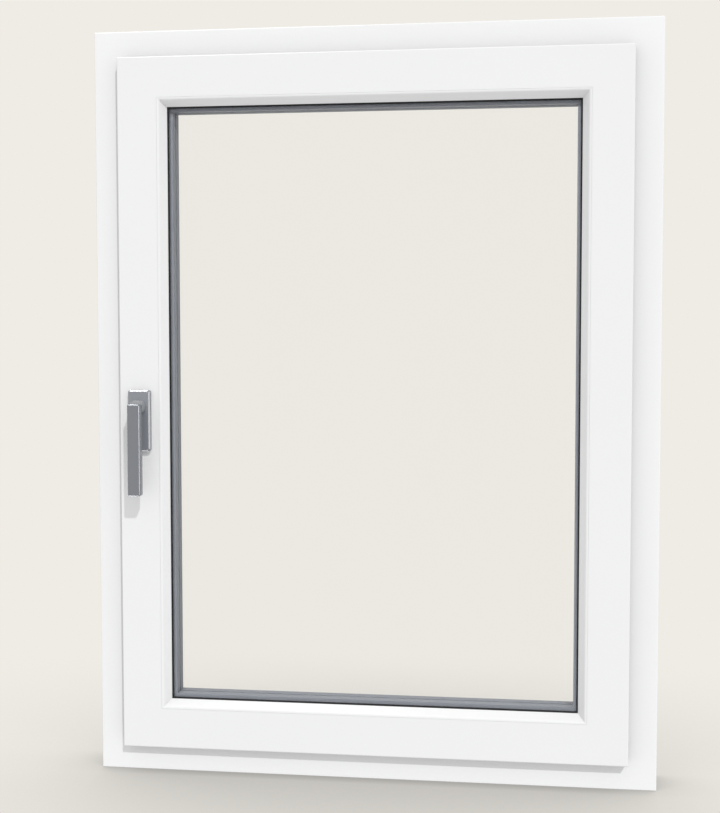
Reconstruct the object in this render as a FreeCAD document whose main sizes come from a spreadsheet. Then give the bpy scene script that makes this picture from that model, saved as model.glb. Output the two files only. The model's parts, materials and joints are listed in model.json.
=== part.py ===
"""Tilt and turn window: plastic frame and sash, triple glazing, concealed hinges and a lever handle.

Axes: x to the right seen from the room, y towards the outside, z up. The origin is in the middle of the
frame's underside. Every length is in millimetres and comes from the sheet named Sizes.
"""
import os

import FreeCAD
import Part
import Sketcher

Vector = FreeCAD.Vector
doc = FreeCAD.newDocument("TiltAndTurnWindow")
sheet = doc.addObject("Spreadsheet::Sheet", "Sizes")


class Size:
    """A length that knows its number and the sheet formula that drives it."""

    def __init__(self, number, formula):
        self.number = number
        self.formula = formula

    @classmethod
    def of(cls, value):
        return value if isinstance(value, cls) else cls(float(value), f"({float(value)})")

    def __add__(self, other):
        other = Size.of(other)
        return Size(self.number + other.number, f"({self.formula} + {other.formula})")

    def __sub__(self, other):
        other = Size.of(other)
        return Size(self.number - other.number, f"({self.formula} - {other.formula})")

    def __mul__(self, other):
        other = Size.of(other)
        return Size(self.number * other.number, f"({self.formula} * {other.formula})")

    def __truediv__(self, other):
        other = Size.of(other)
        return Size(self.number / other.number, f"({self.formula} / {other.formula})")

    def __radd__(self, other):
        return Size.of(other) + self

    def __rsub__(self, other):
        return Size.of(other) - self

    def __rmul__(self, other):
        return Size.of(other) * self

    def __neg__(self):
        return Size(-self.number, f"(-1 * {self.formula})")

    def root(self):
        return Size(self.number ** 0.5, f"sqrt({self.formula})")


class Circle:
    """A round loop of a sketch."""

    def __init__(self, x, y, radius):
        self.x = Size.of(x)
        self.y = Size.of(y)
        self.radius = Size.of(radius)


def dimension(alias, value):
    """Write one driving dimension to the sheet and return it as a Size."""
    dimension.row += 1
    sheet.set(f"A{dimension.row}", alias)
    sheet.set(f"B{dimension.row}", str(value))
    sheet.setAlias(f"B{dimension.row}", alias)
    return Size(float(value), f"Sizes.{alias}")


dimension.row = 0

# Frame profile
frame_width = dimension("frame_width", 900)
frame_height = dimension("frame_height", 1200)
frame_depth = dimension("frame_depth", 82)
inner_leg = dimension("inner_leg", 53)
outer_leg = dimension("outer_leg", 73)
outer_leg_depth = dimension("outer_leg_depth", 22)
edge_round = dimension("edge_round", 2)
small_round = dimension("small_round", 1)
anchor_groove_width = dimension("anchor_groove_width", 14)
anchor_groove_depth = dimension("anchor_groove_depth", 4)
anchor_groove_inset = dimension("anchor_groove_inset", 11)
anchor_groove_undercut = dimension("anchor_groove_undercut", 1)
fixing_hole = dimension("fixing_hole", 6.2)
fixing_spread = dimension("fixing_spread", 700)
fixing_line = dimension("fixing_line", 41)

# Sash profile
sash_overlap = dimension("sash_overlap", 8)
sash_proud = dimension("sash_proud", 27)
lip_gap = dimension("lip_gap", 5)
fitting_gap = dimension("fitting_gap", 12)
outer_seal_gap = dimension("outer_seal_gap", 5)
sash_face = dimension("sash_face", 67.4)
nose_depth = dimension("nose_depth", 4)
fitting_line = dimension("fitting_line", 15)
faceplate_width = dimension("faceplate_width", 16)
faceplate_depth = dimension("faceplate_depth", 3)
fitting_groove_width = dimension("fitting_groove_width", 12)
fitting_groove_depth = dimension("fitting_groove_depth", 12)

# Beads, gaskets and glass
bevel_width = dimension("bevel_width", 10.5)
bevel_depth = dimension("bevel_depth", 14)
bead_round = dimension("bead_round", 2.2)
bead_flat = dimension("bead_flat", 0.8)
bead_nose = dimension("bead_nose", 0.8)
bead_seat = dimension("bead_seat", 5)
bead_joint = dimension("bead_joint", 0.2)
gasket_thickness = dimension("gasket_thickness", 2.2)
gasket_show = dimension("gasket_show", 2.6)
gasket_width = dimension("gasket_width", 11)
gasket_bevel = dimension("gasket_bevel", 1.4)
spacer_show = dimension("spacer_show", 4.5)
spacer_width = dimension("spacer_width", 11)
pane_thickness = dimension("pane_thickness", 4)
cavity = dimension("cavity", 16)
glazing_gap = dimension("glazing_gap", 4)

# Seals
seal_width = dimension("seal_width", 3.4)
seal_foot = dimension("seal_foot", 2.6)
seal_inset = dimension("seal_inset", 4)
seal_slack = dimension("seal_slack", 0.3)
seal_round = dimension("seal_round", 1.4)
lip_seal_gap = dimension("lip_seal_gap", 1.6)
stop_seal_gap = dimension("stop_seal_gap", 1)

# Concealed hinges and stay
plate_thickness = dimension("plate_thickness", 2.2)
bracket_thickness = dimension("bracket_thickness", 2.5)
arm_thickness = dimension("arm_thickness", 3)
stay_thickness = dimension("stay_thickness", 2)
running_gap = dimension("running_gap", 0.3)
arm_length = dimension("arm_length", 74.5)
arm_width = dimension("arm_width", 16)
block_width = dimension("block_width", 15)
sash_pivot_inset = dimension("sash_pivot_inset", 75)
pivot_pin = dimension("pivot_pin", 8)
pin_play = dimension("pin_play", 0.2)
slider_pin = dimension("slider_pin", 6)
track_play = dimension("track_play", 1.1)
track_back = dimension("track_back", 5)
track_run = dimension("track_run", 40)
tilt_line = dimension("tilt_line", 2.5)
tilt_rod = dimension("tilt_rod", 3)
knuckle_radius = dimension("knuckle_radius", 2.8)
knuckle_length = dimension("knuckle_length", 20)
knuckle_offset = dimension("knuckle_offset", 35)
hinge_plate_length = dimension("hinge_plate_length", 118)
hinge_plate_end = dimension("hinge_plate_end", 28)
hinge_plate_width = dimension("hinge_plate_width", 22)
bracket_round = dimension("bracket_round", 4)
bracket_clear = dimension("bracket_clear", 0.6)
stay_offset = dimension("stay_offset", 30)
stay_length = dimension("stay_length", 350)
stay_width = dimension("stay_width", 14)
stay_pin = dimension("stay_pin", 5)
stay_pin_drop = dimension("stay_pin_drop", 13)
stay_slot = dimension("stay_slot", 56)

# Lock fittings
faceplate_corner = dimension("faceplate_corner", 45)
cam_radius = dimension("cam_radius", 4.5)
cam_height = dimension("cam_height", 6)
cam_spread = dimension("cam_spread", 760)
rail_cam_inset = dimension("rail_cam_inset", 250)
cam_stem = dimension("cam_stem", 3.4)
cam_head = dimension("cam_head", 2.2)
striker_length = dimension("striker_length", 46)
striker_plate = dimension("striker_plate", 2.4)
striker_hook = dimension("striker_hook", 4.5)
striker_hook_width = dimension("striker_hook_width", 3)
striker_hook_length = dimension("striker_hook_length", 24)
striker_width = dimension("striker_width", 18)
striker_clear = dimension("striker_clear", 8)
striker_lead = dimension("striker_lead", 2)

# Drain caps
cap_length = dimension("cap_length", 42)
cap_height = dimension("cap_height", 13)
cap_depth = dimension("cap_depth", 4.5)
cap_spread = dimension("cap_spread", 500)
cap_level = dimension("cap_level", 24)
cap_round = dimension("cap_round", 3)
cap_wall = dimension("cap_wall", 1.4)
cap_mouth = dimension("cap_mouth", 8)

# Handle
handle_level = dimension("handle_level", 600)
rosette_width = dimension("rosette_width", 36)
rosette_height = dimension("rosette_height", 98)
rosette_depth = dimension("rosette_depth", 10)
rosette_round = dimension("rosette_round", 4)
rosette_chamfer = dimension("rosette_chamfer", 2.2)
rosette_rise = dimension("rosette_rise", 27)
hub_radius = dimension("hub_radius", 11.5)
hub_boss = dimension("hub_boss", 7.5)
hub_boss_depth = dimension("hub_boss_depth", 8)
grip_width = dimension("grip_width", 20.8)
grip_depth = dimension("grip_depth", 14)
grip_length = dimension("grip_length", 146)
grip_rise = dimension("grip_rise", 6)
grip_front = dimension("grip_front", 41)
grip_round = dimension("grip_round", 3)

doc.recompute()

# Fixed numbers: how close two points count as one, and how much of a full round end its arc takes
touch = 1e-3
full_round = 0.999

# Lines that several pieces share, all worked out from the sizes above
room_face = -frame_depth / 2
outside_face = frame_depth / 2
stop_face = outside_face - outer_leg_depth
sash_front = room_face - sash_proud
lip_back = room_face - lip_gap
sash_back = stop_face - outer_seal_gap
lip_inset = inner_leg - sash_overlap
body_step = sash_overlap + fitting_gap
nose_top = sash_face - bead_round - bead_flat - bead_joint
bead_floor = nose_top - bead_seat
bead_tip = sash_face + bevel_width
bead_back = sash_front + bevel_depth + bead_nose
glass_front = bead_back + gasket_thickness
glass_depth = 3 * pane_thickness + 2 * cavity
glass_back = glass_front + glass_depth
upstand_front = glass_back + gasket_thickness
glass_inset = lip_inset + bead_floor + glazing_gap
gasket_edge = lip_inset + bead_tip + gasket_show
spacer_edge = gasket_edge + spacer_show
fitting_y = room_face + fitting_line
body_inset = lip_inset + body_step
half_width = frame_width / 2
half_height = frame_height / 2
cut_through = 4 * frame_depth
seal_groove = seal_width + 2 * seal_slack
groove_depth = seal_foot + seal_slack
sash_pivot_x = half_width - sash_pivot_inset
slider_x = sash_pivot_x - arm_length
stile_middle = lip_inset + sash_face / 2


def plane_of(body, role):
    """The origin plane of a body, found by its role."""
    return next(item for item in body.Origin.OriginFeatures if item.Role == role)


def tangent_points(before, corner, after, run):
    """The two points where a corner's arc starts and ends, and the arc's radius."""
    sides = []
    for other in (before, after):
        across = other[0] - corner[0]
        up = other[1] - corner[1]
        span = (across * across + up * up).root()
        sides.append((across / span, up / span))
    first, second = sides
    cosine = first[0] * second[0] + first[1] * second[1]
    radius = run * ((1 - cosine) / (1 + cosine)).root()
    start = (corner[0] + run * first[0], corner[1] + run * first[1])
    end = (corner[0] + run * second[0], corner[1] + run * second[1])
    return start, end, radius


def drive(kind, places, size):
    """A named constraint and the formula that its value follows."""
    constraint = Sketcher.Constraint(kind, *places, size.number)
    constraint.Name = f"{kind}_" + "_".join(str(place) for place in places if place >= 0)
    return constraint, size.formula


def add_circle(sketch, circle):
    """Draw one round loop and return its constraints."""
    middle = Vector(circle.x.number, circle.y.number, 0)
    shape = Part.Circle(middle, Vector(0, 0, 1), circle.radius.number)
    index = sketch.addGeometry(shape, False)
    return [
        drive("DistanceX", (-1, 1, index, 3), circle.x),
        drive("DistanceY", (-1, 1, index, 3), circle.y),
        drive("Radius", (index,), circle.radius),
    ]


def add_outline(sketch, corners):
    """Draw one closed outline and return its constraints.

    A corner is (x, y), or (x, y, run) where an arc takes run off both of its sides.
    """
    points = [(Size.of(corner[0]), Size.of(corner[1])) for corner in corners]
    stops = []
    for place, corner in enumerate(corners):
        if len(corner) == 2:
            stops.append((points[place], points[place], None))
        else:
            after = points[(place + 1) % len(points)]
            stops.append(tangent_points(points[place - 1], points[place], after, Size.of(corner[2])))
    pieces = []
    for place, (start, end, radius) in enumerate(stops):
        if radius is not None:
            middle = arc_middle(points[place], start, end, radius)
            arc = Part.Arc(flat(start), middle, flat(end))
            pieces.append((sketch.addGeometry(arc, False), start, end, radius))
        following = stops[(place + 1) % len(stops)][0]
        line = Part.LineSegment(flat(end), flat(following))
        pieces.append((sketch.addGeometry(line, False), end, following, None))
    constraints = []
    for place, (index, start, _, radius) in enumerate(pieces):
        first, last = arc_ends(sketch, index, start)
        following = pieces[(place + 1) % len(pieces)]
        entry = arc_ends(sketch, following[0], following[1])[0]
        constraints.append((Sketcher.Constraint("Coincident", index, last, following[0], entry), None))
        constraints.append(drive("DistanceX", (-1, 1, index, first), start[0]))
        constraints.append(drive("DistanceY", (-1, 1, index, first), start[1]))
        if radius is not None:
            constraints.append(drive("Radius", (index,), radius))
    return constraints


def flat(point):
    """A sketch point as a vector."""
    return Vector(point[0].number, point[1].number, 0)


def arc_middle(corner, start, end, radius):
    """The point half way along a corner's arc."""
    chord = (flat(start) + flat(end)) * 0.5
    towards = flat(corner) - chord
    half_chord = (flat(end) - flat(start)).Length / 2
    rise = radius.number - (radius.number ** 2 - half_chord ** 2) ** 0.5
    return chord + towards.normalize() * rise


def arc_ends(sketch, index, start):
    """The numbers of a piece's first and last point, as it is walked from start."""
    begins = sketch.getPoint(index, 1).distanceToPoint(flat(start)) < touch
    return (1, 2) if begins else (2, 1)


def new_body(label):
    """A body that becomes one sub-part."""
    body = doc.addObject("PartDesign::Body", label)
    body.Label = label
    body.AllowCompound = True
    return body


def draw(body, role, loops, lift=0):
    """A sketch on one of the body's own planes, lifted along that plane's normal."""
    sketch = body.newObject("Sketcher::SketchObject", f"{body.Label}_sketch")
    sketch.AttachmentSupport = [(plane_of(body, role), "")]
    sketch.MapMode = "FlatFace"
    sketch.setExpression("AttachmentOffset.Base.z", Size.of(lift).formula)
    constraints = []
    for loop in loops:
        constraints += add_circle(sketch, loop) if isinstance(loop, Circle) else add_outline(sketch, loop)
    sketch.addConstraint([constraint for constraint, _ in constraints])
    for constraint, formula in constraints:
        if formula:
            sketch.setExpression(f"Constraints.{constraint.Name}", formula)
    return sketch


def pad(body, role, loops, length, lift=0, symmetric=False):
    """Extrude loops along the plane's normal, or half to each side."""
    feature = body.newObject("PartDesign::Pad", f"{body.Label}_pad")
    feature.Profile = draw(body, role, loops, lift)
    feature.SideType = "Symmetric" if symmetric else "One side"
    feature.setExpression("Length", Size.of(length).formula)
    body.Tip = feature
    return feature


def cut(body, role, loops, length, lift=0):
    """Cut loops out of a body, half of the length to each side of the lifted plane."""
    feature = body.newObject("PartDesign::Pocket", f"{body.Label}_cut")
    feature.Profile = draw(body, role, loops, lift)
    feature.SideType = "Symmetric"
    feature.setExpression("Length", Size.of(length).formula)
    body.Tip = feature
    return feature


def break_edges(body, kind, size, chosen):
    """Round or chamfer the edges of a body's tip whose middle passes a test."""
    doc.recompute()
    base = body.Tip
    names = []
    for number, edge in enumerate(base.Shape.Edges, start=1):
        middle = edge.valueAt((edge.FirstParameter + edge.LastParameter) / 2)
        if chosen(middle):
            names.append(f"Edge{number}")
    feature = body.newObject(f"PartDesign::{kind}", f"{body.Label}_{kind.lower()}")
    feature.Base = (base, names)
    feature.setExpression("Radius" if kind == "Fillet" else "Size", size.formula)
    body.Tip = feature
    return feature


def rectangle(x0, x1, y0, y1, run=None):
    """The corners of an upright rectangle, rounded by run if it is given."""
    corners = [(x0, y0), (x1, y0), (x1, y1), (x0, y1)]
    if run is None:
        return corners
    return [(x, y, run) for x, y in corners]


def slot(x0, x1, y, width):
    """A long hole or plate with round ends between two centres."""
    side = width / 2
    return rectangle(x0 - side, x1 + side, y - side, y + side, side * full_round)


def move(piece, x, y, z, turn=0):
    """Turn a piece about the depth axis, then carry its origin to x, y, z."""
    piece.Placement = FreeCAD.Placement(Vector(0, 0, 0), FreeCAD.Rotation(Vector(0, 1, 0), turn))
    for axis, size in zip("xyz", (x, y, z)):
        piece.setExpression(f"Placement.Base.{axis}", Size.of(size).formula)


def sides(inset):
    """Where the four members of a rectangle sit: place, turn and length, by the side they make."""
    width = frame_width - 2 * inset
    height = frame_height - 2 * inset
    return {
        "bottom": ((0, 0, inset), 0, width),
        "top": ((0, 0, frame_height - inset), 180, width),
        "left": ((inset - half_width, 0, half_height), 90, height),
        "right": ((half_width - inset, 0, half_height), -90, height),
    }


def mitred_member(label, section, side, inset, reach):
    """A profile extruded along one side of the window, with both ends cut at 45 degrees."""
    place, turn, length = sides(inset)[side]
    body = new_body(label)
    pad(body, "YZ_Plane", [section], length, symmetric=True)
    half = length / 2
    right_end = [(half, 0), (half, reach), (half - reach, reach)]
    left_end = [(-half, 0), (reach - half, reach), (-half, reach)]
    cut(body, "XZ_Plane", [right_end, left_end], cut_through)
    move(body, *place, turn)
    return body


def ring(label, outer, inner, near, far):
    """A closed loop of rectangular section between two insets, from depth near to depth far."""
    body = new_body(label)
    loops = []
    for inset in (outer, inner):
        loops.append(rectangle(inset - half_width, half_width - inset, inset, frame_height - inset))
    pad(body, "XZ_Plane", loops, far - near, lift=-far)
    return body


# Frame members
seal_top = outer_leg - seal_inset
near_groove = room_face + anchor_groove_inset
near_groove_end = near_groove + anchor_groove_width
far_groove_end = outside_face - anchor_groove_inset
far_groove = far_groove_end - anchor_groove_width
frame_section = [
    (room_face, 0, edge_round),
    (near_groove, 0),
    (near_groove - anchor_groove_undercut, anchor_groove_depth),
    (near_groove_end + anchor_groove_undercut, anchor_groove_depth),
    (near_groove_end, 0),
    (far_groove, 0),
    (far_groove - anchor_groove_undercut, anchor_groove_depth),
    (far_groove_end + anchor_groove_undercut, anchor_groove_depth),
    (far_groove_end, 0),
    (outside_face, 0, edge_round),
    (outside_face, outer_leg, edge_round),
    (stop_face, outer_leg, small_round),
    (stop_face, seal_top),
    (stop_face + groove_depth, seal_top),
    (stop_face + groove_depth, seal_top - seal_groove),
    (stop_face, seal_top - seal_groove),
    (stop_face, inner_leg),
    (room_face, inner_leg, edge_round),
]
frame_names = {
    "bottom": "frame_sill",
    "top": "frame_head",
    "left": "frame_lock_jamb",
    "right": "frame_hinge_jamb",
}
frame_members = {}
for side, label in frame_names.items():
    frame_members[side] = mitred_member(label, frame_section, side, 0, outer_leg)
fixing_y = room_face + fixing_line
for side in ("left", "right"):
    holes = [Circle(x, fixing_y, fixing_hole / 2) for x in (fixing_spread / 2, -fixing_spread / 2)]
    cut(frame_members[side], "XY_Plane", holes, cut_through)
stop_seal_tip = sash_back + stop_seal_gap
frame_seal = ring(
    "frame_seal",
    seal_top - seal_groove + seal_slack,
    seal_top - seal_slack,
    stop_seal_tip,
    stop_face + seal_foot,
)
break_edges(frame_seal, "Fillet", seal_round, lambda point: abs(point.y - stop_seal_tip.number) < touch)

# Sash members
groove_half = fitting_groove_width / 2
plate_half = faceplate_width / 2
step_floor = body_step + faceplate_depth
groove_floor = body_step + fitting_groove_depth
sash_section = [
    (sash_front, 0, edge_round),
    (lip_back, 0, small_round),
    (lip_back, seal_inset),
    (lip_back - groove_depth, seal_inset),
    (lip_back - groove_depth, seal_inset + seal_groove),
    (lip_back, seal_inset + seal_groove),
    (lip_back, body_step),
    (fitting_y - plate_half, body_step),
    (fitting_y - plate_half, step_floor),
    (fitting_y - groove_half, step_floor),
    (fitting_y - groove_half, groove_floor),
    (fitting_y + groove_half, groove_floor),
    (fitting_y + groove_half, step_floor),
    (fitting_y + plate_half, step_floor),
    (fitting_y + plate_half, body_step),
    (sash_back, body_step, small_round),
    (sash_back, bead_tip - edge_round, edge_round),
    (upstand_front, bead_tip, small_round),
    (upstand_front, bead_floor),
    (sash_front + nose_depth, bead_floor),
    (sash_front + nose_depth, nose_top),
    (sash_front, nose_top),
]
bead_section = [
    (sash_front, nose_top + bead_joint),
    (sash_front + nose_depth + bead_joint, nose_top + bead_joint),
    (sash_front + nose_depth + bead_joint, bead_floor),
    (bead_back, bead_floor),
    (bead_back, bead_tip),
    (sash_front + bevel_depth, bead_tip),
    (sash_front, sash_face, bead_round),
]
sash_names = {
    "bottom": "sash_bottom_rail",
    "top": "sash_top_rail",
    "left": "sash_lock_stile",
    "right": "sash_hinge_stile",
}
for side, label in sash_names.items():
    mitred_member(label, sash_section, side, lip_inset, bead_tip)
    mitred_member(f"glazing_bead_{side}", bead_section, side, lip_inset, bead_tip)
lip_seal_edge = lip_inset + seal_inset + seal_slack
lip_seal_tip = room_face - lip_seal_gap
sash_seal = ring("sash_seal", lip_seal_edge, lip_seal_edge + seal_width, lip_back - seal_foot, lip_seal_tip)
break_edges(sash_seal, "Fillet", seal_round, lambda point: abs(point.y - lip_seal_tip.number) < touch)

# Glass unit with its gaskets and spacers
gasket_outer = gasket_edge - gasket_width
inner_gasket = ring("inner_gasket", gasket_outer, gasket_edge, bead_back, glass_front)
outer_gasket = ring("outer_gasket", gasket_outer, gasket_edge, glass_back, upstand_front)


def on_gasket_lip(face):
    """A test for the edges round the opening of a gasket, on the face away from the glass."""

    def chosen(point):
        inside = abs(point.x) < half_width.number - gasket_edge.number + touch
        inside = inside and abs(point.z - half_height.number) < half_height.number - gasket_edge.number + touch
        return inside and abs(point.y - face.number) < touch

    return chosen


break_edges(inner_gasket, "Chamfer", gasket_bevel, on_gasket_lip(bead_back))
break_edges(outer_gasket, "Chamfer", gasket_bevel, on_gasket_lip(upstand_front))
pane_front = glass_front
for label in ("inner_pane", "middle_pane", "outer_pane"):
    pane = doc.addObject("Part::Box", label)
    pane.Label = label
    pane.setExpression("Length", (frame_width - 2 * glass_inset).formula)
    pane.setExpression("Width", pane_thickness.formula)
    pane.setExpression("Height", (frame_height - 2 * glass_inset).formula)
    move(pane, glass_inset - half_width, pane_front, glass_inset)
    pane_front = pane_front + pane_thickness + cavity
inner_cavity = glass_front + pane_thickness
outer_cavity = inner_cavity + cavity + pane_thickness
ring("inner_spacer", spacer_edge - spacer_width, spacer_edge, inner_cavity, inner_cavity + cavity)
ring("outer_spacer", spacer_edge - spacer_width, spacer_edge, outer_cavity, outer_cavity + cavity)

# Lock faceplates in the fitting grooves
faceplate_top = body_step + running_gap


def faceplate(label, side):
    """The steel strip in a fitting groove of the sash."""
    place, turn, length = sides(lip_inset)[side]
    body = new_body(label)
    half = length / 2 - body_step - faceplate_corner
    strip_half = plate_half - pin_play
    strip = rectangle(-half, half, fitting_y - strip_half, fitting_y + strip_half)
    pad(body, "XY_Plane", [strip], step_floor - faceplate_top, lift=faceplate_top)
    move(body, *place, turn)
    return body


faceplate("lock_faceplate", "left")
faceplate("bottom_faceplate", "bottom")
faceplate("hinge_faceplate", "right")
top_faceplate = faceplate("top_faceplate", "top")
stay_pin_x = sash_pivot_x - stay_offset - stay_length
stay_slot_hole = slot(-stay_pin_x - stay_slot / 2, -stay_pin_x + stay_pin, fitting_y, fitting_groove_width)
cut(top_faceplate, "XY_Plane", [stay_slot_hole], cut_through, lift=body_step)

# Locking cams on the faceplates, each a stem with a wider head
cam_foot = lip_inset + faceplate_top
cam_neck = cam_height - cam_head
rail_cam_x = half_width - rail_cam_inset
lock_cam_levels = (half_height + cam_spread / 2, half_height, half_height - cam_spread / 2)
locking_cams = new_body("locking_cams")
for radius, start, length in ((cam_stem, 0, cam_neck), (cam_radius, cam_neck, cam_head)):
    start = Size.of(start)
    lock_cams = [Circle(fitting_y, level, radius) for level in lock_cam_levels]
    pad(locking_cams, "YZ_Plane", lock_cams, length, lift=cam_foot - half_width - start - length)
    rail_cam = Circle(-rail_cam_x, fitting_y, radius)
    pad(locking_cams, "XY_Plane", [rail_cam], length, lift=cam_foot - start - length)
    pad(locking_cams, "XY_Plane", [rail_cam], length, lift=frame_height - cam_foot + start)


def strikers(label, side, cams):
    """Keeps on the frame's rebate floor, each beside the cam that slides behind its hook."""
    place, turn, _ = sides(0)[side]
    body = new_body(label)
    plates = []
    hooks = []
    for cam in cams:
        start = cam + cam_radius + striker_clear
        plate_near = fitting_y - striker_width / 2
        plate_far = fitting_y + striker_width / 2
        plates.append(rectangle(start, start + striker_length, plate_near, plate_far, edge_round))
        hook_far = fitting_y - cam_radius - pin_play
        hook_near = hook_far - striker_hook_width
        hook_end = start + striker_hook_length
        hooks.append(
            [
                (start, hook_near),
                (hook_end, hook_near),
                (hook_end, hook_far),
                (start + striker_lead, hook_far),
                (start, hook_far - striker_lead),
            ]
        )
    pad(body, "XY_Plane", plates, striker_plate, lift=inner_leg)
    pad(body, "XY_Plane", hooks, striker_hook, lift=inner_leg + striker_plate)
    move(body, *place, turn)
    return body


strikers("lock_strikers", "left", [cam_spread / 2, Size.of(0), -cam_spread / 2])
strikers("head_striker", "top", [rail_cam_x])
strikers("sill_striker", "bottom", [-rail_cam_x])

# Lower concealed hinge, stacked up from the sill's rebate floor
lower_plate_top = inner_leg + plate_thickness
lower_arm_low = lower_plate_top + running_gap
lower_arm_top = lower_arm_low + arm_thickness
bracket_low = lower_arm_top + running_gap
bracket_top = bracket_low + bracket_thickness
sash_plate_low = bracket_top + running_gap
tilt_y = room_face + tilt_line
tilt_z = bracket_low
pin_radius = pivot_pin / 2
eye_radius = pin_radius + pin_play
arm_side = arm_width / 2
slider = Circle(slider_x, fitting_y, slider_pin / 2)
sash_pivot = Circle(sash_pivot_x, fitting_y, pin_radius)
plate_start = slider_x - hinge_plate_end
frame_plate_outline = rectangle(
    plate_start,
    plate_start + hinge_plate_length,
    fitting_y - hinge_plate_width / 2,
    fitting_y + hinge_plate_width / 2,
    edge_round,
)
track = slot(slider_x - track_back, slider_x + track_run, fitting_y, slider_pin + 2 * track_play)

lower_plate = new_body("lower_hinge_frame_plate")
pad(lower_plate, "XY_Plane", [frame_plate_outline, track], plate_thickness, lift=inner_leg)

arm_outline = slot(slider_x, sash_pivot_x, fitting_y, arm_width)
arm_eye = Circle(sash_pivot_x, fitting_y, eye_radius)
slider_low = inner_leg + running_gap
lower_arm = new_body("lower_hinge_arm")
pad(lower_arm, "XY_Plane", [arm_outline, arm_eye], arm_thickness, lift=lower_arm_low)
pad(lower_arm, "XY_Plane", [slider], lower_arm_low - slider_low, lift=slider_low)

bracket = new_body("lower_tilt_bracket")
knuckle_x = sash_pivot_x - knuckle_offset
knuckle_left = knuckle_x - knuckle_length / 2
knuckle_right = knuckle_x + knuckle_length / 2
knuckle = Circle(tilt_y, tilt_z, knuckle_radius)
pad(bracket, "YZ_Plane", [knuckle], knuckle_length, lift=knuckle_left)
bracket_edge = tilt_y + knuckle_radius + bracket_clear
bracket_outline = [
    (knuckle_left, tilt_y),
    (knuckle_right, tilt_y),
    (knuckle_right, bracket_edge),
    (sash_pivot_x + arm_side, bracket_edge, bracket_round),
    (sash_pivot_x + arm_side, fitting_y + arm_side, bracket_round),
    (knuckle_left, fitting_y + arm_side, bracket_round),
]
pad(bracket, "XY_Plane", [bracket_outline], bracket_thickness, lift=bracket_low)
rod_hole = Circle(tilt_y, tilt_z, tilt_rod / 2 + pin_play)
cut(bracket, "YZ_Plane", [rod_hole], cut_through, lift=knuckle_x)
pad(bracket, "XY_Plane", [sash_pivot], bracket_low - lower_arm_low, lift=lower_arm_low)

lower_sash_plate = new_body("lower_hinge_sash_plate")
lug_length = knuckle_length / 2
left_lug = knuckle_left - running_gap - lug_length
right_lug = knuckle_right + running_gap
sash_plate_outline = rectangle(
    left_lug, half_width - body_inset, tilt_y, fitting_y + arm_side, edge_round
)
pad(lower_sash_plate, "XY_Plane", [sash_plate_outline], body_inset - sash_plate_low, lift=sash_plate_low)
knuckle_room = rectangle(left_lug + lug_length, right_lug, tilt_y - knuckle_radius, bracket_edge)
cut(lower_sash_plate, "XY_Plane", [knuckle_room], cut_through, lift=body_inset)
lug_section = [
    (tilt_y - knuckle_radius, body_inset),
    (tilt_y - knuckle_radius, tilt_z - knuckle_radius, knuckle_radius * full_round),
    (tilt_y + knuckle_radius, tilt_z - knuckle_radius, knuckle_radius * full_round),
    (tilt_y + knuckle_radius, body_inset),
]
for lug in (left_lug, right_lug):
    pad(lower_sash_plate, "YZ_Plane", [lug_section], lug_length, lift=lug)
rod = Circle(tilt_y, tilt_z, tilt_rod / 2)
pad(lower_sash_plate, "YZ_Plane", [rod], right_lug + lug_length - left_lug, lift=left_lug)

# Upper concealed hinge and stay, stacked down from the head's rebate floor
head_floor = frame_height - inner_leg
upper_plate_low = head_floor - plate_thickness
upper_arm_top = upper_plate_low - running_gap
upper_arm_low = upper_arm_top - arm_thickness
block_top = upper_arm_low - running_gap
block_low = block_top - plate_thickness
stay_top = block_low - running_gap
stay_low = stay_top - stay_thickness
stay_pivot_x = sash_pivot_x - stay_offset

upper_plate = new_body("upper_hinge_frame_plate")
pad(upper_plate, "XY_Plane", [frame_plate_outline, track], plate_thickness, lift=upper_plate_low)

upper_arm = new_body("upper_hinge_arm")
pad(upper_arm, "XY_Plane", [arm_outline, arm_eye], arm_thickness, lift=upper_arm_low)
pad(upper_arm, "XY_Plane", [slider], head_floor - running_gap - upper_arm_top, lift=upper_arm_top)

block = new_body("upper_hinge_block")
block_outline = slot(stay_pivot_x, sash_pivot_x, fitting_y, block_width)
stay_eye = Circle(stay_pivot_x, fitting_y, eye_radius)
pad(block, "XY_Plane", [block_outline, stay_eye], plate_thickness, lift=block_low)
pad(block, "XY_Plane", [sash_pivot], upper_arm_top - block_top, lift=block_top)

stay = new_body("stay_arm")
stay_outline = slot(stay_pin_x, stay_pivot_x, fitting_y, stay_width)
pad(stay, "XY_Plane", [stay_outline], stay_thickness, lift=stay_low)
stay_pivot = Circle(stay_pivot_x, fitting_y, pin_radius)
pad(stay, "XY_Plane", [stay_pivot], block_top - stay_top, lift=stay_top)

slide_pin = new_body("stay_slide_pin")
pin_loop = Circle(stay_pin_x, fitting_y, stay_pin / 2)
pad(slide_pin, "XY_Plane", [pin_loop], stay_pin_drop, lift=stay_low - stay_pin_drop)

# Drain caps outside, low on the sill
drain_caps = new_body("drain_caps")
cap_low = cap_level - cap_height / 2
cap_outlines = []
cap_mouths = []
for middle in (cap_spread / 2, -cap_spread / 2):
    left = middle - cap_length / 2
    right = middle + cap_length / 2
    cap_outlines.append(rectangle(left, right, cap_low, cap_low + cap_height, cap_round))
    mouth_front = outside_face + cap_depth - cap_wall
    cap_mouths.append(rectangle(left + cap_round, right - cap_round, outside_face, mouth_front))
pad(drain_caps, "XZ_Plane", cap_outlines, cap_depth, lift=-(outside_face + cap_depth))
cut(drain_caps, "XY_Plane", cap_mouths, 2 * cap_mouth, lift=cap_low)

# Handle
handle_x = stile_middle - half_width
rosette_front = sash_front - rosette_depth
grip_face = sash_front - grip_front
grip_back = grip_face + grip_depth
rosette_top = handle_level + rosette_rise

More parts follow.
